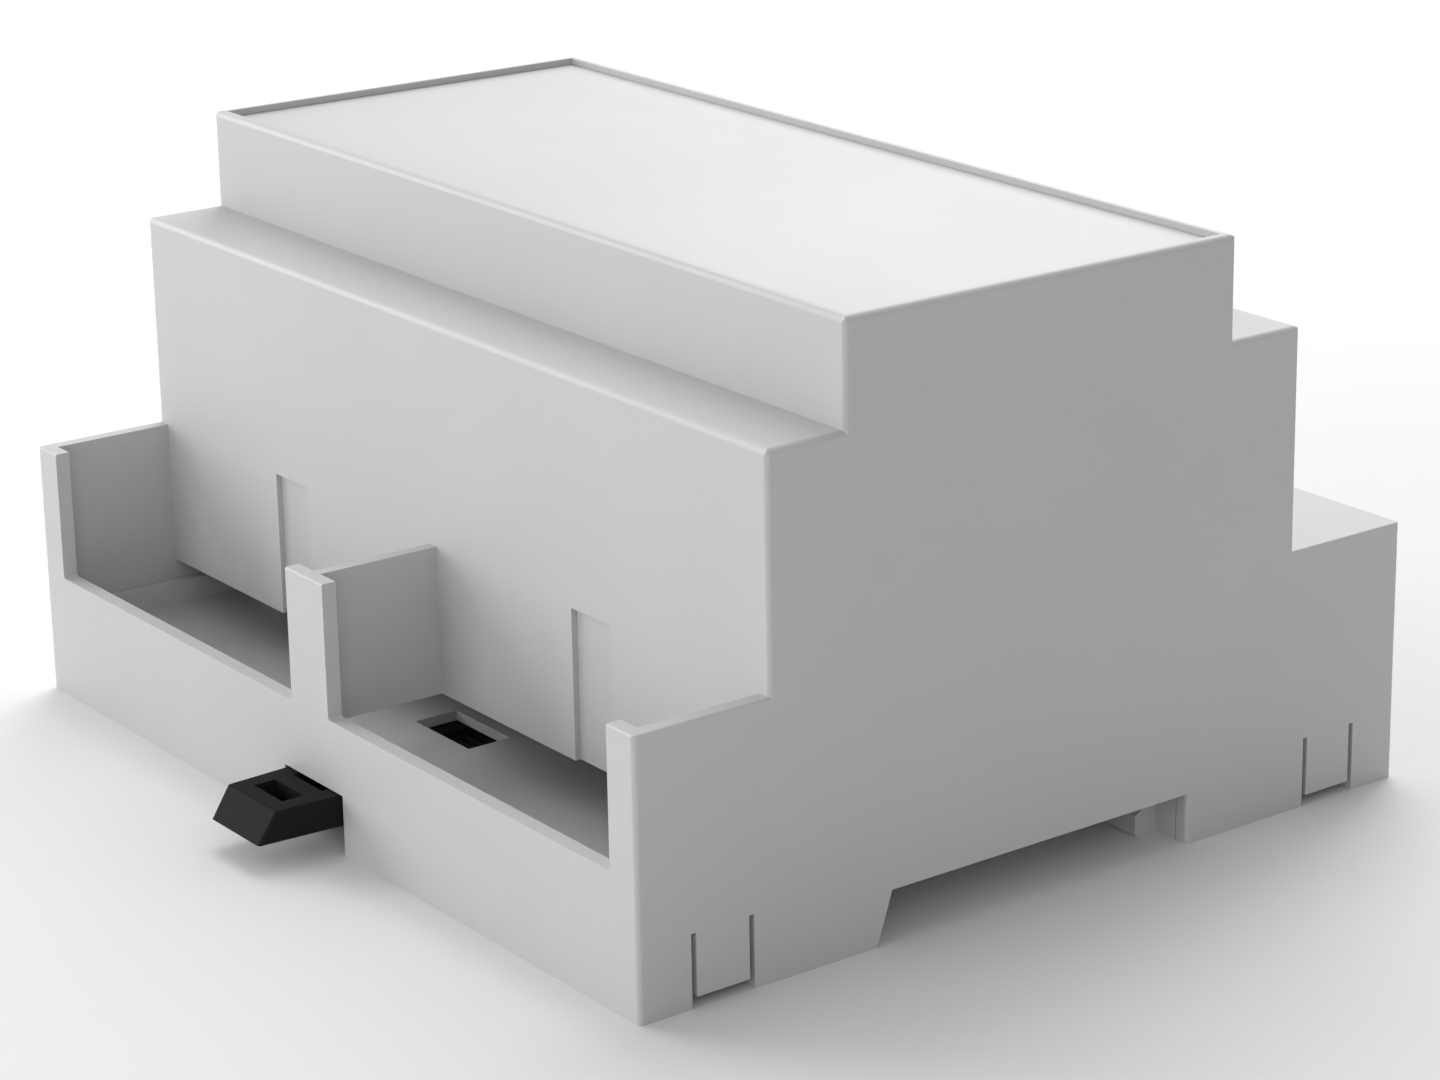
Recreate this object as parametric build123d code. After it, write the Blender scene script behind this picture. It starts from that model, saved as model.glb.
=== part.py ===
from build123d import *
import os

# Outline, in millimetres. Z is measured from the rail seat, X runs along the rail.
WIDTH = 106.0
DEPTH = 90.0
TOP_SPAN = 45.0
SHOULDER_SPAN = 61.7
LEDGE_Z = 21.3
SHOULDER_Z = 43.3
TOP_Z = 53.3
FOOT_Z = -5.0
WALL = 1.5
CORNER_ROUND = 0.45
STEP_ROUND = 0.6
LEDGE_ROUND = 0.2

# Rail recess and hook.
RECESS_FRONT_Y = -17.65
RECESS_FRONT_FOOT_Y = -19.35
RECESS_REAR_Y = 17.8
SEAT_GAP = 0.1
HOOK_REACH = 2.65
HOOK_HALF_LENGTH = 48.7
HOOK_TIP_Z = -2.85
HOOK_ROOT_Z = -1.25
HOOK_CHAMFER = 0.3

# Terminal trays and their windows, on the clip side only.
WALL_BOTTOM_Z = 6.5
SILL_Z = 8.0
PILLAR = 3.9
MID_PILLAR = 6.6
PARTITION = 1.2
WINDOW_ROUND = 0.3
RELIEF_WIDTH = 6.0
RELIEF_DEPTH = 0.6

# Panel seat in the raised top.
PANEL_RIM = 1.0
PANEL_INSET = 0.7
PANEL_THICKNESS = 2.0
PANEL_GAP = 0.1
PANEL_LEDGE = 1.2
PANEL_LEDGE_THICKNESS = 1.5
LUG_INSET = 21.0
LUG_WIDTH = 5.0
LUG_THICKNESS = 1.1
LUG_HOOK = 0.6
LUG_HOOK_HEIGHT = 0.9

# Snap tongues in the side walls.
TONGUE_INSET = 8.85
TONGUE_WIDTH = 5.6
SLOT = 0.55
SLOT_TOP_Z = 2.0
TONGUE_END_Z = -3.95
BARB_WIDTH = 4.5
BARB_DEPTH = 0.75
BARB_TOP_Z = -1.0
BARB_LAND = 0.5
BARB_HEIGHT = 1.9

# Ribs inside the housing.
STOP_RIB_WIDTH = 1.2
STOP_RIB_DEPTH = 1.0
STOP_RIB_NEAR_X = 14.0
STOP_RIB_INSET = 13.0
STOP_RIB_TOP_Z = 6.8
GUIDE_RIB_WIDTH = 1.2
GUIDE_RIB_DEPTH = 1.3
GUIDE_GAP = 1.8
GUIDE_Y = 12.0
GUIDE_LOW_Z = 10.0
GUIDE_HIGH_Z = 40.0

# Base.
FIT = 0.1
FLOOR = 2.0
RIM = 1.0
RIM_Z = 4.35
SKIRT_Z = -4.0
SKIRT = 1.0
REAR_WALL = 1.5
FLOOR_RIB = 1.2
FLOOR_RIB_NEAR_X = 18.0
FLOOR_RIB_INSET = 18.0
BOSS_INSET_X = 10.0
BOSS_INSET_Y = 8.85
BOSS_R = 2.5
BOSS_PILOT_R = 1.1
BOSS_PILOT_DEPTH = 3.4
BARB_WINDOW_GAP = 0.4
BARB_WINDOW_RISE = 0.05

# Clip channel in the base.
SLIDE_GAP = 0.1
CHANNEL_WALL = 1.2
CLIP_WINDOW_HALF = 4.75
CLIP_WINDOW_LENGTH = 4.7
CLIP_WINDOW_OFFSET = 5.7
STRAP_THICKNESS = 1.2
SPRING_STOP = 1.2
SPRING_STOP_OFFSET = 14.5
SPRING_STOP_HALF = 2.3

# Clip.
CLIP_TOP_Z = 0.9
CLIP_THICKNESS = 3.0
CLIP_HALF = 4.9
CLIP_END_GAP = 0.95
CLIP_TRAVEL = 4.0
NOTCH_HALF = 5.25
HEAD_TOP_OUT = 6.6
HEAD_FOOT_OUT = 8.6
HEAD_TAPER = 0.5
HEAD_ROUND = 0.3
DRIVER_HALF = 2.6
DRIVER_OUT = (4.9, 2.6)
DRIVER_DEPTH = 2.2
SPRING_POCKET_HALF = 2.65
SPRING_POCKET_OUT = 0.7
SPRING_POCKET_OFFSET = 3.7
SPRING_POCKET_DEPTH = 2.4
EAR_REACH = 0.7
EAR_LENGTH = 2.4
EAR_OFFSET = 0.7
JAW_HALF = 4.0
JAW_THICKNESS = 1.0
JAW_REACH = 2.25
JAW_TIP = 0.5
JAW_MOUTH_GAP = 0.15

# Zig-zag spring.
SPRING_STRIP = 0.5
SPRING_HEIGHT = 1.8
SPRING_HALF = 2.3
SPRING_LEGS = 8

HALF_W = WIDTH / 2
HALF_D = DEPTH / 2
HALF_TOP = TOP_SPAN / 2
HALF_SHOULDER = SHOULDER_SPAN / 2
IN_W = HALF_W - WALL
IN_D = HALF_D - WALL
IN_SHOULDER = HALF_SHOULDER - WALL
IN_TOP = HALF_TOP - WALL
SEAT_W = HALF_W - PANEL_RIM
SEAT_D = HALF_TOP - PANEL_RIM
PANEL_TOP_Z = TOP_Z - PANEL_INSET
PANEL_SEAT_Z = PANEL_TOP_Z - PANEL_THICKNESS
LEDGE_UNDER_Z = PANEL_SEAT_Z - PANEL_LEDGE_THICKNESS
BASE_W = IN_W - FIT
BASE_D = IN_D - FIT
RELIEF_X = (MID_PILLAR / 2 + HALF_W - PILLAR) / 2
LUG_X = HALF_W - LUG_INSET
STOP_RIB_X = (STOP_RIB_NEAR_X, HALF_W - STOP_RIB_INSET)
FLOOR_RIB_X = (FLOOR_RIB_NEAR_X, HALF_W - FLOOR_RIB_INSET)
TONGUE_Y = HALF_D - TONGUE_INSET
BOSS_X = HALF_W - BOSS_INSET_X
BOSS_Y = HALF_SHOULDER - BOSS_INSET_Y
CLIP_END_Y = RECESS_FRONT_FOOT_Y - CLIP_END_GAP
CLIP_WINDOW_Y1 = CLIP_END_Y - CLIP_WINDOW_OFFSET
CLIP_WINDOW_Y0 = CLIP_WINDOW_Y1 - CLIP_WINDOW_LENGTH
CLIP_BOTTOM_Z = CLIP_TOP_Z - CLIP_THICKNESS
CHANNEL_HALF = CLIP_HALF + 2 * SLIDE_GAP
CHANNEL_OUT = CHANNEL_HALF + CHANNEL_WALL
CHANNEL_ROOF_Z = CLIP_TOP_Z + SLIDE_GAP
EAR_Y0 = CLIP_END_Y - EAR_OFFSET - EAR_LENGTH
EAR_Y1 = CLIP_END_Y - EAR_OFFSET
SPRING_Y0 = CLIP_END_Y - SPRING_STOP_OFFSET
SPRING_Y1 = CLIP_END_Y - SPRING_POCKET_OFFSET
SIDES = (-1, 1)


def block(x0, x1, y0, y1, z0, z1):
    """Box between two corners."""
    middle = Pos((x0 + x1) / 2, (y0 + y1) / 2, (z0 + z1) / 2)
    return middle * Box(abs(x1 - x0), abs(y1 - y0), abs(z1 - z0))


def prism_x(points, x0, x1):
    """Section in Y and Z, carried along X."""
    face = make_face(Polyline(*points, close=True))
    return extrude(Plane.YZ.offset(x0) * face, amount=x1 - x0)


def prism_y(points, y0, y1):
    """Section in X and Z, carried along Y."""
    plane = Plane(origin=(0, y1, 0), x_dir=(1, 0, 0), z_dir=(0, -1, 0))
    face = make_face(Polyline(*points, close=True))
    return extrude(plane * face, amount=y1 - y0)


def prism_z(points, z0, z1):
    """Section in X and Y, carried along Z."""
    face = make_face(Polyline(*points, close=True))
    return extrude(Plane.XY.offset(z0) * face, amount=z1 - z0)


def step(half_depth, top_z, top_round):
    """One step of the outer form, with rounded upright corners and top edges."""
    body = block(-HALF_W, HALF_W, -half_depth, half_depth, FOOT_Z, top_z)
    body = fillet(body.edges().filter_by(Axis.Z), CORNER_ROUND)
    along = block(-HALF_W - 1, HALF_W + 1, -half_depth, half_depth, FOOT_Z - 1, top_z)
    along = fillet(along.edges().filter_by(Axis.X).group_by(Axis.Z)[-1], top_round)
    across = block(-HALF_W, HALF_W, -half_depth - 1, half_depth + 1, FOOT_Z - 1, top_z)
    across = fillet(across.edges().filter_by(Axis.Y).group_by(Axis.Z)[-1], top_round)
    return body & along & across


def stepped_body():
    """Outer form of the housing, solid, its inner corners left sharp."""
    low = step(HALF_D, LEDGE_Z, LEDGE_ROUND)
    middle = step(HALF_SHOULDER, SHOULDER_Z, STEP_ROUND)
    top = step(HALF_TOP, TOP_Z, STEP_ROUND)
    return low + middle + top


def body_hollow():
    """Inside of the housing below the panel ledge."""
    low = block(-IN_W, IN_W, -IN_D, IN_D, FOOT_Z - 1, WALL_BOTTOM_Z)
    rear = block(-IN_W, IN_W, 0, IN_D, WALL_BOTTOM_Z - 1, LEDGE_Z - WALL)
    middle = block(-IN_W, IN_W, -IN_SHOULDER, IN_SHOULDER, WALL_BOTTOM_Z - 1, SHOULDER_Z - WALL)
    top = block(-IN_W, IN_W, -IN_TOP, IN_TOP, SHOULDER_Z - WALL - 1, LEDGE_UNDER_Z)
    mouth = block(
        PANEL_LEDGE - IN_W,
        IN_W - PANEL_LEDGE,
        PANEL_LEDGE - IN_TOP,
        IN_TOP - PANEL_LEDGE,
        LEDGE_UNDER_Z - 1,
        TOP_Z,
    )
    seat = block(-SEAT_W, SEAT_W, -SEAT_D, SEAT_D, PANEL_SEAT_Z, TOP_Z + 1)
    return low + rear + middle + top + mouth + seat


def tray_cut(sx):
    """One terminal tray, with its window in the front wall."""
    tray = block(
        sx * PARTITION / 2,
        sx * IN_W,
        -IN_D,
        -HALF_SHOULDER,
        WALL_BOTTOM_Z - 1,
        LEDGE_Z + 1,
    )
    window = block(
        sx * MID_PILLAR / 2,
        sx * (HALF_W - PILLAR),
        -HALF_D - 1,
        1 - IN_D,
        SILL_Z,
        LEDGE_Z + 5,
    )
    low_edges = window.edges().filter_by(Axis.Y).group_by(Axis.Z)[0]
    return tray + fillet(low_edges, WINDOW_ROUND)


def relief_cut(sx):
    """Shallow relief in the main wall behind a tray, open at the wall's lower edge."""
    half = RELIEF_WIDTH / 2
    x_mid = sx * RELIEF_X
    return block(
        x_mid - half,
        x_mid + half,
        -HALF_SHOULDER - 1,
        RELIEF_DEPTH - HALF_SHOULDER,
        WALL_BOTTOM_Z - 1,
        LEDGE_Z,
    )


def recess_cut():
    """Rail recess across both side walls."""
    points = [
        (RECESS_FRONT_FOOT_Y - (RECESS_FRONT_Y - RECESS_FRONT_FOOT_Y) / 5, FOOT_Z - 1),
        (RECESS_FRONT_Y, 0),
        (RECESS_FRONT_Y, SEAT_GAP),
        (RECESS_REAR_Y, SEAT_GAP),
        (RECESS_REAR_Y, FOOT_Z - 1),
    ]
    return prism_x(points, -HALF_W - 1, HALF_W + 1)


def tongue_cut(sx, sy):
    """Two slots that free a snap tongue, and the trim at its end."""
    x0 = sx * (IN_W - 0.5)
    x1 = sx * (HALF_W + 1)
    y_mid = sy * TONGUE_Y
    half = TONGUE_WIDTH / 2
    first = block(x0, x1, y_mid - half - SLOT, y_mid - half, FOOT_Z - 1, SLOT_TOP_Z)
    second = block(x0, x1, y_mid + half, y_mid + half + SLOT, FOOT_Z - 1, SLOT_TOP_Z)
    trim = block(x0, x1, y_mid - half - SLOT, y_mid + half + SLOT, FOOT_Z - 1, TONGUE_END_Z)
    return first + second + trim


def tongue_barb(sx, sy):
    """Catch on the inner face of a snap tongue."""
    y_mid = sy * TONGUE_Y
    points = [
        (sx * (IN_W + 0.3), BARB_TOP_Z),
        (sx * (IN_W - BARB_DEPTH), BARB_TOP_Z),
        (sx * (IN_W - BARB_DEPTH), BARB_TOP_Z - BARB_LAND),
        (sx * IN_W, BARB_TOP_Z - BARB_HEIGHT),
        (sx * (IN_W + 0.3), BARB_TOP_Z - BARB_HEIGHT),
    ]
    return prism_y(points, y_mid - BARB_WIDTH / 2, y_mid + BARB_WIDTH / 2)


def stop_rib(x_mid, sy):
    """Rib on the outer wall that bears on the base rim."""
    half = STOP_RIB_WIDTH / 2
    y0 = sy * (IN_D - STOP_RIB_DEPTH)
    y1 = sy * (IN_D + 0.3)
    return block(x_mid - half, x_mid + half, y0, y1, RIM_Z, STOP_RIB_TOP_Z)


def guide_rib(sx, y_mid):
    """Pair of ribs on a side wall that form a slot for an upright board."""
    x0 = sx * (IN_W - GUIDE_RIB_DEPTH)
    x1 = sx * (IN_W + 0.3)
    pair = []
    for side in SIDES:
        near = y_mid + side * GUIDE_GAP / 2
        far = y_mid + side * (GUIDE_GAP / 2 + GUIDE_RIB_WIDTH)
        pair.append(block(x0, x1, near, far, GUIDE_LOW_Z, GUIDE_HIGH_Z))
    return pair[0] + pair[1]


def recess_corner_cut(sx):
    """Round on a side wall's corner, on the hook side of the recess."""
    x = sx * (HALF_W - CORNER_ROUND)
    y = RECESS_REAR_Y + CORNER_ROUND
    corner = block(x, sx * (HALF_W + 1), RECESS_REAR_Y - 1, y, FOOT_Z - 1, SEAT_GAP)
    kept = Pos(x, y, SEAT_GAP) * Cylinder(
        CORNER_ROUND,
        SEAT_GAP - FOOT_Z + 1,
        align=(Align.CENTER, Align.CENTER, Align.MAX),
    )
    return corner - kept


def make_housing():
    """Stepped cover shell, moulded in one piece."""
    shell = stepped_body() - body_hollow() - recess_cut()
    for sx in SIDES:
        shell -= recess_corner_cut(sx)
        shell -= tray_cut(sx)
        shell -= relief_cut(sx)
        for sy in SIDES:
            shell -= tongue_cut(sx, sy)
            shell += tongue_barb(sx, sy)
            shell += guide_rib(sx, sy * GUIDE_Y)
            for x_mid in STOP_RIB_X:
                shell += stop_rib(sx * x_mid, sy)
    notch = block(-NOTCH_HALF, NOTCH_HALF, -HALF_D - 1, 0.5 - IN_D, FOOT_Z - 1, CHANNEL_ROOF_Z)
    return shell - notch


def base_floor():
    """Tray floor with its upstanding rim."""
    plate = block(-BASE_W, BASE_W, -BASE_D, BASE_D, 0, RIM_Z)
    hollow = block(RIM - BASE_W, BASE_W - RIM, RIM - BASE_D, BASE_D - RIM, FLOOR, RIM_Z + 1)
    return plate - hollow


def skirt(sy):
    """Foot skirt round three sides, under the floor."""
    y_in = RECESS_REAR_Y if sy > 0 else -CLIP_END_Y
    outer = block(-BASE_W, BASE_W, sy * y_in, sy * BASE_D, SKIRT_Z, FLOOR / 2)
    inner = block(
        SKIRT - BASE_W,
        BASE_W - SKIRT,
        sy * (y_in - 1),
        sy * (BASE_D - SKIRT),
        SKIRT_Z - 1,
        0,
    )
    return outer - inner


def foot_rib(x_mid, sy):
    """Stiffening rib across a foot."""
    y_in = RECESS_REAR_Y if sy > 0 else -CLIP_END_Y
    half = FLOOR_RIB / 2
    return block(x_mid - half, x_mid + half, sy * y_in, sy * (BASE_D - SKIRT / 2), SKIRT_Z, FLOOR / 2)


def front_recess_wall():
    """Slanted wall of the rail recess on the clip side."""
    points = [
        (RECESS_FRONT_Y, FLOOR / 2),
        (RECESS_FRONT_Y, 0),
        (RECESS_FRONT_FOOT_Y, FOOT_Z),
        (CLIP_END_Y, FOOT_Z),
        (CLIP_END_Y, FLOOR / 2),
    ]
    return prism_x(points, -BASE_W, BASE_W)


def rear_recess_wall():
    """Wall of the rail recess on the hook side, with the hook lip."""
    wall = block(-BASE_W, BASE_W, RECESS_REAR_Y, RECESS_REAR_Y + REAR_WALL, FOOT_Z, FLOOR / 2)
    tip_y = RECESS_REAR_Y - HOOK_REACH
    points = [
        (RECESS_REAR_Y + 0.5, FOOT_Z),
        (tip_y + HOOK_CHAMFER, FOOT_Z),
        (tip_y, FOOT_Z + HOOK_CHAMFER),
        (tip_y, HOOK_TIP_Z),
        (RECESS_REAR_Y, HOOK_ROOT_Z),
        (RECESS_REAR_Y + 0.5, HOOK_ROOT_Z),
    ]
    return wall + prism_x(points, -HOOK_HALF_LENGTH, HOOK_HALF_LENGTH)


def barb_window(sx, sy):
    """Window in the skirt that a snap tongue catches in."""
    half = BARB_WIDTH / 2 + BARB_WINDOW_GAP
    y_mid = sy * TONGUE_Y
    z0 = BARB_TOP_Z - BARB_HEIGHT - BARB_WINDOW_GAP
    z1 = BARB_TOP_Z + BARB_WINDOW_RISE
    return block(sx * (BASE_W - SKIRT - 0.2), sx * (BASE_W + 1), y_mid - half, y_mid + half, z0, z1)


def channel_block():
    """Solid body of the clip channel, before the clip's way is cut in it."""
    return block(-CHANNEL_OUT, CHANNEL_OUT, -BASE_D, CLIP_END_Y, SKIRT_Z, FLOOR / 2)


def channel_way():
    """Way of the clip through the channel, open below but for the strap."""
    way = block(-CHANNEL_HALF, CHANNEL_HALF, -BASE_D - 1, CLIP_END_Y, SKIRT_Z - 1, CHANNEL_ROOF_Z)
    ears = block(
        -CHANNEL_OUT - 1,
        CHANNEL_OUT + 1,
        EAR_Y0 - CLIP_TRAVEL,
        CLIP_END_Y - EAR_OFFSET / 2,
        CLIP_BOTTOM_Z - SLIDE_GAP,
        0,
    )
    window = block(
        -CLIP_WINDOW_HALF,
        CLIP_WINDOW_HALF,
        CLIP_WINDOW_Y0,
        CLIP_WINDOW_Y1,
        0,
        FLOOR + 1,
    )
    return way + ears + window


def jaw_mouth():
    """Mouth in the recess wall that the jaw passes through."""
    half = JAW_HALF + JAW_MOUTH_GAP
    z0 = CLIP_BOTTOM_Z - JAW_MOUTH_GAP
    z1 = CLIP_BOTTOM_Z + JAW_THICKNESS + SLIDE_GAP
    return block(-half, half, CLIP_END_Y - 1, RECESS_FRONT_Y + 1, z0, z1)


def channel_fittings():
    """Strap under the clip and the stop rib that the spring bears on."""
    z_strap = CLIP_BOTTOM_Z - SLIDE_GAP
    strap = block(
        -CHANNEL_HALF - 0.5,
        CHANNEL_HALF + 0.5,
        CLIP_WINDOW_Y0,
        CLIP_WINDOW_Y1,
        z_strap - STRAP_THICKNESS,
        z_strap,
    )
    stop = block(
        -SPRING_STOP_HALF,
        SPRING_STOP_HALF,
        SPRING_Y0 - SPRING_STOP,
        SPRING_Y0,
        CLIP_TOP_Z - SPRING_POCKET_DEPTH + SLIDE_GAP,
        FLOOR / 2 + 0.3,
    )
    return strap + stop


def boss(sx, sy):
    """Boss for a circuit board, level with the rim."""
    post = Pos(sx * BOSS_X, sy * BOSS_Y, FLOOR / 2) * Cylinder(
        BOSS_R,
        RIM_Z - FLOOR / 2,
        align=(Align.CENTER, Align.CENTER, Align.MIN),
    )
    return post


def boss_pilot(sx, sy):
    """Blind pilot hole in a boss."""
    return Pos(sx * BOSS_X, sy * BOSS_Y, RIM_Z) * Cylinder(
        BOSS_PILOT_R,
        BOSS_PILOT_DEPTH,
        align=(Align.CENTER, Align.CENTER, Align.MAX),
    )


def make_base():
    """Base that closes the housing and sits on the rail."""
    base = base_floor() + front_recess_wall() + rear_recess_wall()
    for sy in SIDES:
        base += skirt(sy)
        for sx in SIDES:
            base += boss(sx, sy)
            for x_mid in FLOOR_RIB_X:
                base += foot_rib(sx * x_mid, sy)
    base += channel_block()
    base = base - channel_way() - jaw_mouth() + channel_fittings()
    for sy in SIDES:
        for sx in SIDES:
            base -= boss_pilot(sx, sy)
            base -= barb_window(sx, sy)
    return base


def panel_lug(sx, sy):
    """Snap lug under the panel."""
    y_face = sy * (IN_TOP - PANEL_LEDGE - PANEL_GAP)
    y_back = y_face - sy * LUG_THICKNESS
    y_hook = y_face + sy * LUG_HOOK
    z_hook = LEDGE_UNDER_Z - PANEL_GAP / 2
    z_end = z_hook - LUG_HOOK_HEIGHT
    points = [
        (y_back, PANEL_SEAT_Z + 0.5),
        (y_back, z_end),
        (y_face, z_end),
        (y_hook, z_hook - LUG_HOOK_HEIGHT / 3),
        (y_hook, z_hook),
        (y_face, z_hook),
        (y_face, PANEL_SEAT_Z + 0.5),
    ]
    x_mid = sx * LUG_X
    return prism_x(points, x_mid - LUG_WIDTH / 2, x_mid + LUG_WIDTH / 2)


def make_front_panel():
    """Flat plate with four snap lugs."""
    x = SEAT_W - PANEL_GAP
    y = SEAT_D - PANEL_GAP
    panel = block(-x, x, -y, y, PANEL_SEAT_Z, PANEL_TOP_Z)
    for sx in SIDES:
        for sy in SIDES:
            panel += panel_lug(sx, sy)
    return panel


def clip_head():
    """Wedge-shaped head that stands out of the notch, its lower edges left sharp."""
    points = [
        (-HALF_D + 0.5, CLIP_BOTTOM_Z),
        (-HALF_D - HEAD_FOOT_OUT, CLIP_BOTTOM_Z),
        (-HALF_D - HEAD_TOP_OUT, CLIP_TOP_Z),
        (-HALF_D + 0.5, CLIP_TOP_Z),
    ]
    head = prism_x(points, -CLIP_HALF, CLIP_HALF)
    outline = [
        (-CLIP_HALF, -HALF_D + 0.5),
        (-CLIP_HALF, -HALF_D),
        (HEAD_TAPER - CLIP_HALF, -HALF_D - HEAD_FOOT_OUT),
        (CLIP_HALF - HEAD_TAPER, -HALF_D - HEAD_FOOT_OUT),
        (CLIP_HALF, -HALF_D),
        (CLIP_HALF, -HALF_D + 0.5),
    ]
    head = head & prism_z(outline, CLIP_BOTTOM_Z, CLIP_TOP_Z)
    rounded = head.edges().filter_by(
        lambda e: e.center().Y < -HALF_D - 0.5 and e.center().Z > CLIP_BOTTOM_Z + 0.1
    )
    return fillet(rounded, HEAD_ROUND)


def clip_jaw():
    """Thin jaw that reaches under the rail's flange, ramped below."""
    z_top = CLIP_BOTTOM_Z + JAW_THICKNESS
    y_tip = RECESS_FRONT_Y + JAW_REACH
    points = [
        (CLIP_END_Y - 0.5, CLIP_BOTTOM_Z),
        (RECESS_FRONT_Y, CLIP_BOTTOM_Z),
        (y_tip, z_top - JAW_TIP),
        (y_tip, z_top),
        (CLIP_END_Y - 0.5, z_top),
    ]
    return prism_x(points, -JAW_HALF, JAW_HALF)


def make_din_clip():
    """Sliding clip: head, body with its pockets, stop ears and jaw."""
    clip = block(-CLIP_HALF, CLIP_HALF, -HALF_D, CLIP_END_Y, CLIP_BOTTOM_Z, CLIP_TOP_Z)
    clip = clip + clip_head() + clip_jaw()
    ear = CHANNEL_HALF + EAR_REACH
    clip += block(-ear, ear, EAR_Y0, EAR_Y1, CLIP_BOTTOM_Z, -SLIDE_GAP)
    driver = block(
        -DRIVER_HALF,
        DRIVER_HALF,
        -HALF_D - DRIVER_OUT[0],
        -HALF_D - DRIVER_OUT[1],
        CLIP_TOP_Z - DRIVER_DEPTH,
        CLIP_TOP_Z + 1,
    )
    pocket = block(
        -SPRING_POCKET_HALF,
        SPRING_POCKET_HALF,
        -HALF_D - SPRING_POCKET_OUT,
        SPRING_Y1,
        CLIP_TOP_Z - SPRING_POCKET_DEPTH,
        CLIP_TOP_Z + 1,
    )
    return clip - driver - pocket


def make_clip_spring():
    """Zig-zag spring between the base's stop rib and the end of the clip's pocket."""
    pitch = (SPRING_Y1 - SPRING_Y0 - SPRING_STRIP) / SPRING_LEGS
    half = SPRING_STRIP / 2
    path = []
    for leg in range(SPRING_LEGS + 1):
        y = SPRING_Y0 + half + leg * pitch
        x = SPRING_HALF - half
        ends = (-x, x) if leg % 2 == 0 else (x, -x)
        path.append((ends[0], y))
        path.append((ends[1], y))
    strip = None
    for start, stop in zip(path, path[1:]):
        x0 = min(start[0], stop[0]) - half
        x1 = max(start[0], stop[0]) + half
        y0 = min(start[1], stop[1]) - half
        y1 = max(start[1], stop[1]) + half
        leg = Pos((x0 + x1) / 2, (y0 + y1) / 2) * Rectangle(x1 - x0, y1 - y0)
        strip = leg if strip is None else strip + leg
    z0 = CLIP_TOP_Z - SPRING_POCKET_DEPTH + SLIDE_GAP
    return extrude(Plane.XY.offset(z0) * strip, amount=SPRING_HEIGHT)


PARTS = {
    "housing": make_housing,
    "base": make_base,
    "front_panel": make_front_panel,
    "din_clip": make_din_clip,
    "clip_spring": make_clip_spring,
}

os.makedirs("parts", exist_ok=True)
for name, make in PARTS.items():
    export_step(make(), f"parts/{name}.step")
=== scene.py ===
"""Looks of the rail enclosure: moulded plastics, a pale floor and soft studio light."""

import math

import bpy
from mathutils import Matrix, Vector


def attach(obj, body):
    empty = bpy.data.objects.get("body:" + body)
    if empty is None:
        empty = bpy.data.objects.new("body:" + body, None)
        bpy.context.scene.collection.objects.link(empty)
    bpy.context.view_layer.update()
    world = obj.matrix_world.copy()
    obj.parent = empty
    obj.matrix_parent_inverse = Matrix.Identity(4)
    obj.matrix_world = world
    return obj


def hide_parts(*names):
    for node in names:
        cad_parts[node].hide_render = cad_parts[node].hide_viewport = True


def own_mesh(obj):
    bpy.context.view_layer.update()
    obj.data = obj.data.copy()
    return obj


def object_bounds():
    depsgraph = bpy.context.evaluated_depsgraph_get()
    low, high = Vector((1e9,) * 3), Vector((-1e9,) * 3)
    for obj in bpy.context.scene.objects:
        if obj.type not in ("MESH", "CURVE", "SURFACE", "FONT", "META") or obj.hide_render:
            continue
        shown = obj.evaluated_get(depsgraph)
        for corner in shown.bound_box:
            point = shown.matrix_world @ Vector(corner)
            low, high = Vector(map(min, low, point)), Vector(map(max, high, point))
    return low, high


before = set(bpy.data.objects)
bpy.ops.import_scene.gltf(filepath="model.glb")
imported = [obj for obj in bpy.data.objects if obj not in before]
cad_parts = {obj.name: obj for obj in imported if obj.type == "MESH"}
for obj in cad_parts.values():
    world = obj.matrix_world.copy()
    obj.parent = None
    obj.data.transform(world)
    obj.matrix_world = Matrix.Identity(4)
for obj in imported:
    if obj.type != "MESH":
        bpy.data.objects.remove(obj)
cad_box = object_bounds()

# Camera at the photograph's place, in metres. Its lens and film width are in millimetres.
CAMERA_PLACE = (0.304141, -0.218155, 0.139444)
CAMERA_FORWARD = (-0.74700, 0.59462, -0.29734)
CAMERA_UP = (-0.22982, 0.18871, 0.95476)
CAMERA_LENS = 98.59
CAMERA_FILM = 36.0
CAMERA_SHIFT = (-0.1145, -0.0518)
CAMERA_NEAR = 0.01
CAMERA_FAR = 20.0

FLOOR_Z = cad_box[0].z
FLOOR_HALF = 4.0
FLOOR_COLOUR = (0.75, 0.75, 0.75)
FLOOR_ROUGHNESS = 0.9
FLOOR_SPECULAR = 0.1

SURROUND_COLOUR = (1.0, 1.0, 1.0)
SURROUND_STRENGTH = 0.385

# Soft boxes round AIM. Each one: azimuth and height in degrees, power in watts.
# Azimuth 0 is in front of the clip side and 90 is on the side towards +X.
AIM = (0.0, 0.0, 0.02)
LIGHT_DISTANCE = 1.3
LIGHT_SIZE = 0.9
LIGHTS = {
    "front": (0, 12, 5.5),
    "left": (293, 13, 14.3),
    "right": (60, 25, 2.0),
    "rear": (217, 32, 7.5),
    "rear_high": (225, 65, 8.2),
}

HOUSING_GREY = (0.50, 0.50, 0.515)
BASE_GREY = (0.53, 0.53, 0.545)
PANEL_GREY = (0.53, 0.53, 0.545)
CLIP_BLACK = (0.0155, 0.0155, 0.016)

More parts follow.
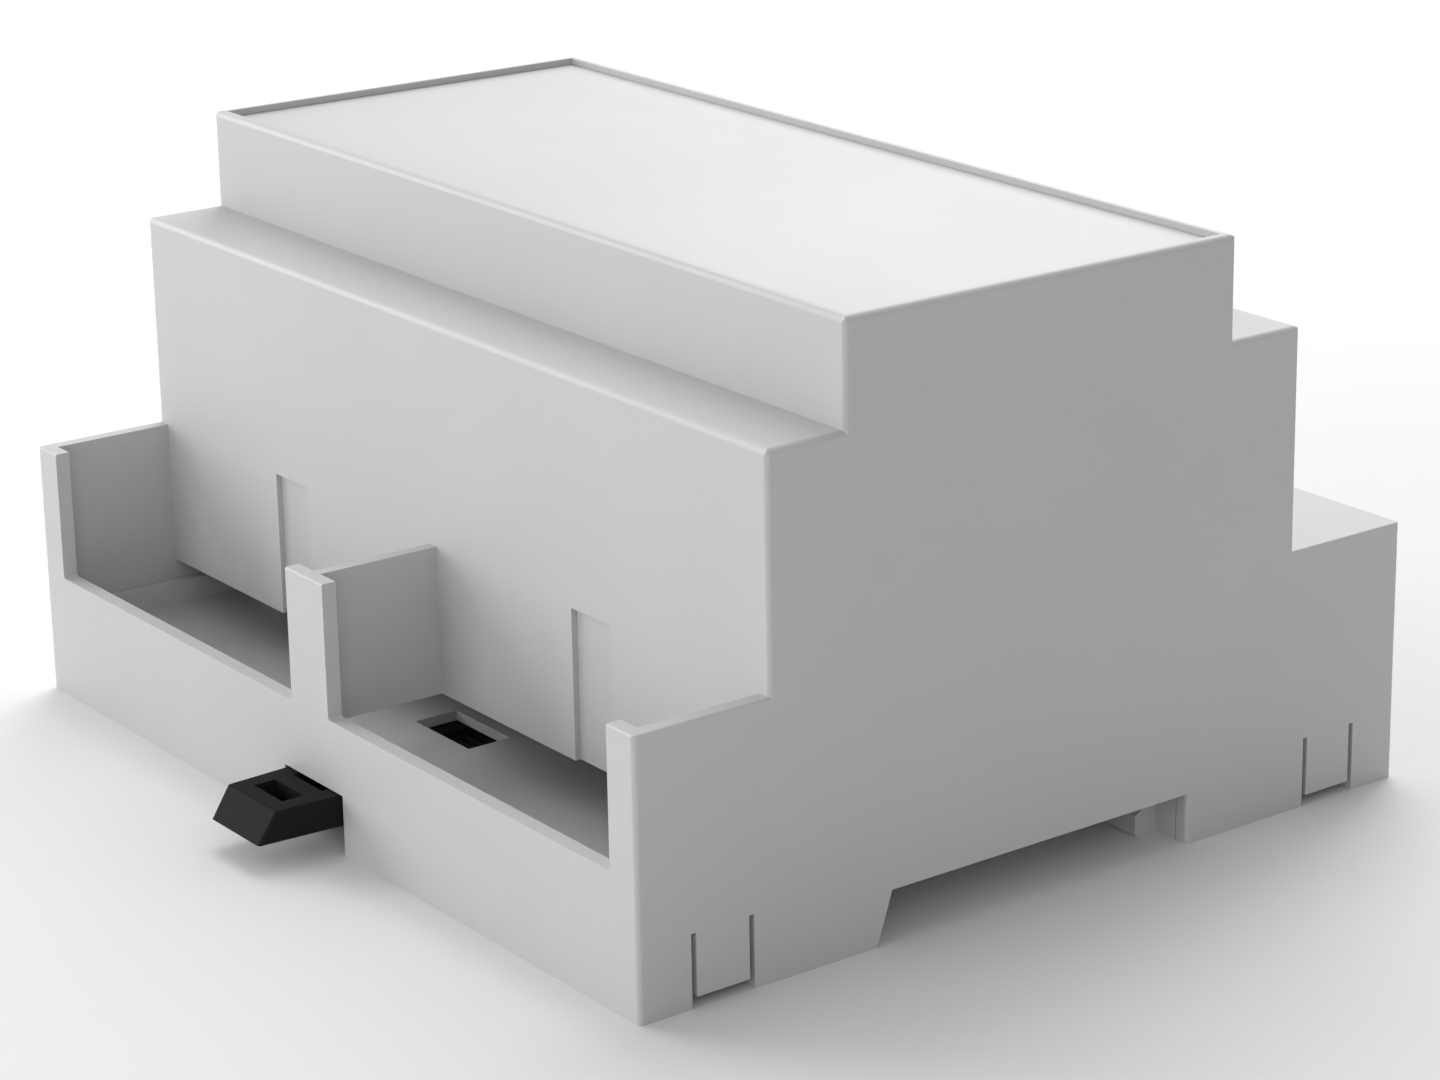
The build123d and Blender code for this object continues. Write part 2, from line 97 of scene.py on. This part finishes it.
# Surface of each kind of moulding. Grain is counted to the metre and its depth is in metres.
SHELL_SURFACE = {"roughness": 0.5, "specular": 0.5, "grain": 3200.0, "grain_depth": 0.000012}
PANEL_SURFACE = {"roughness": 0.48, "specular": 0.45, "grain": 3600.0, "grain_depth": 0.000008}
CLIP_SURFACE = {"roughness": 0.35, "specular": 0.012, "grain": 2600.0, "grain_depth": 0.00001}

# Faint clouding of the colour, and the unevenness of the sheen.
CLOUD_SCALE = 26.0
CLOUD_BAND = (0.3, 0.7)
CLOUD_TINT = 0.025
SHEEN_SCALE = 70.0
SHEEN_SPREAD = 0.05


def noise(tree, scale, detail, roughness):
    """Noise in the piece's own coordinates."""
    made = tree.nodes.new("ShaderNodeTexNoise")
    made.inputs["Scale"].default_value = scale
    made.inputs["Detail"].default_value = detail
    made.inputs["Roughness"].default_value = roughness
    place = tree.nodes.new("ShaderNodeTexCoord")
    tree.links.new(place.outputs["Object"], made.inputs["Vector"])
    return made


def add_clouds(tree, shader, colour):
    """Colour that is a little darker and lighter in soft clouds."""
    cloud = noise(tree, CLOUD_SCALE, 3.0, 0.55)
    tint = tree.nodes.new("ShaderNodeValToRGB")
    shades = (1 - CLOUD_TINT, 1 + CLOUD_TINT)
    for stop, position, shade in zip(tint.color_ramp.elements, CLOUD_BAND, shades):
        stop.position = position
        stop.color = (*[c * shade for c in colour], 1.0)
    tree.links.new(cloud.outputs["Fac"], tint.inputs["Fac"])
    tree.links.new(tint.outputs["Color"], shader.inputs["Base Color"])


def add_sheen(tree, shader, roughness):
    """Sheen that is a little uneven."""
    sheen = noise(tree, SHEEN_SCALE, 4.0, 0.6)
    spread = tree.nodes.new("ShaderNodeMapRange")
    spread.inputs["To Min"].default_value = roughness - SHEEN_SPREAD
    spread.inputs["To Max"].default_value = roughness + SHEEN_SPREAD
    tree.links.new(sheen.outputs["Fac"], spread.inputs["Value"])
    tree.links.new(spread.outputs["Result"], shader.inputs["Roughness"])


def add_grain(tree, shader, grain, depth):
    """Fine even grain of the mould."""
    fine = noise(tree, grain, 2.0, 0.5)
    bump = tree.nodes.new("ShaderNodeBump")
    bump.inputs["Strength"].default_value = 1.0
    bump.inputs["Distance"].default_value = depth
    tree.links.new(fine.outputs["Fac"], bump.inputs["Height"])
    tree.links.new(bump.outputs["Normal"], shader.inputs["Normal"])


def moulded_plastic(name, colour, surface):
    """Moulded plastic with clouds, an uneven sheen and a fine grain."""
    material = bpy.data.materials.new(name)
    material.use_nodes = True
    tree = material.node_tree
    shader = tree.nodes["Principled BSDF"]
    shader.inputs["Specular IOR Level"].default_value = surface["specular"]
    add_clouds(tree, shader, colour)
    add_sheen(tree, shader, surface["roughness"])
    add_grain(tree, shader, surface["grain"], surface["grain_depth"])
    return material


def dress(name, material):
    """Gives a CAD node its material."""
    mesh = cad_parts[name].data
    mesh.materials.clear()
    mesh.materials.append(material)


def make_spring(material):
    """Copy of the spring with its own mesh, hung on the shell body in place of the CAD spring.
    """
    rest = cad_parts["clip_spring"]
    spring = bpy.data.objects.new("clip_spring_flex", rest.data.copy())
    bpy.context.scene.collection.objects.link(spring)
    spring.data.materials.clear()
    spring.data.materials.append(material)
    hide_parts("clip_spring")
    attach(spring, "shell")
    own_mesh(spring)


def make_floor():
    """Plain pale floor under the feet."""
    mesh = bpy.data.meshes.new("floor")
    h = FLOOR_HALF
    corners = [(-h, -h, FLOOR_Z), (h, -h, FLOOR_Z), (h, h, FLOOR_Z), (-h, h, FLOOR_Z)]
    mesh.from_pydata(corners, [], [(0, 1, 2, 3)])
    floor = bpy.data.objects.new("floor", mesh)
    bpy.context.scene.collection.objects.link(floor)
    material = bpy.data.materials.new("floor")
    material.use_nodes = True
    shader = material.node_tree.nodes["Principled BSDF"]
    shader.inputs["Base Color"].default_value = (*FLOOR_COLOUR, 1.0)
    shader.inputs["Roughness"].default_value = FLOOR_ROUGHNESS
    shader.inputs["Specular IOR Level"].default_value = FLOOR_SPECULAR
    mesh.materials.append(material)


def make_light(name, azimuth, height, power):
    """Soft box aimed at the object."""
    data = bpy.data.lights.new(name, "AREA")
    data.shape = "SQUARE"
    data.size = LIGHT_SIZE
    data.energy = power
    a = math.radians(azimuth)
    h = math.radians(height)
    away = Vector((math.sin(a) * math.cos(h), -math.cos(a) * math.cos(h), math.sin(h)))
    light = bpy.data.objects.new(name, data)
    light.location = Vector(AIM) + LIGHT_DISTANCE * away
    light.rotation_euler = (-away).to_track_quat("-Z", "Y").to_euler()
    bpy.context.scene.collection.objects.link(light)


def make_surround():
    """Even pale surround."""
    world = bpy.data.worlds.new("surround")
    world.use_nodes = True
    background = world.node_tree.nodes["Background"]
    background.inputs["Color"].default_value = (*SURROUND_COLOUR, 1.0)
    background.inputs["Strength"].default_value = SURROUND_STRENGTH
    bpy.context.scene.world = world


def make_camera():
    """Camera with the photograph's place, aim and framing."""
    forward = Vector(CAMERA_FORWARD).normalized()
    right = forward.cross(Vector(CAMERA_UP)).normalized()
    up = right.cross(forward)
    data = bpy.data.cameras.new("camera")
    data.sensor_width = CAMERA_FILM
    data.lens = CAMERA_LENS
    data.shift_x, data.shift_y = CAMERA_SHIFT
    data.clip_start = CAMERA_NEAR
    data.clip_end = CAMERA_FAR
    camera = bpy.data.objects.new("camera", data)
    turn = Matrix((right, up, -forward)).transposed()
    camera.matrix_world = Matrix.Translation(CAMERA_PLACE) @ turn.to_4x4()
    bpy.context.scene.collection.objects.link(camera)
    bpy.context.scene.camera = camera


black = moulded_plastic("clip_black", CLIP_BLACK, CLIP_SURFACE)
dress("housing", moulded_plastic("housing_grey", HOUSING_GREY, SHELL_SURFACE))
dress("base", moulded_plastic("base_grey", BASE_GREY, SHELL_SURFACE))
dress("front_panel", moulded_plastic("panel_grey", PANEL_GREY, PANEL_SURFACE))
dress("din_clip", black)
make_spring(black)
make_floor()
for name, (azimuth, height, power) in LIGHTS.items():
    make_light(name, azimuth, height, power)
make_surround()
make_camera()
bpy.context.scene.view_settings.view_transform = "Standard"
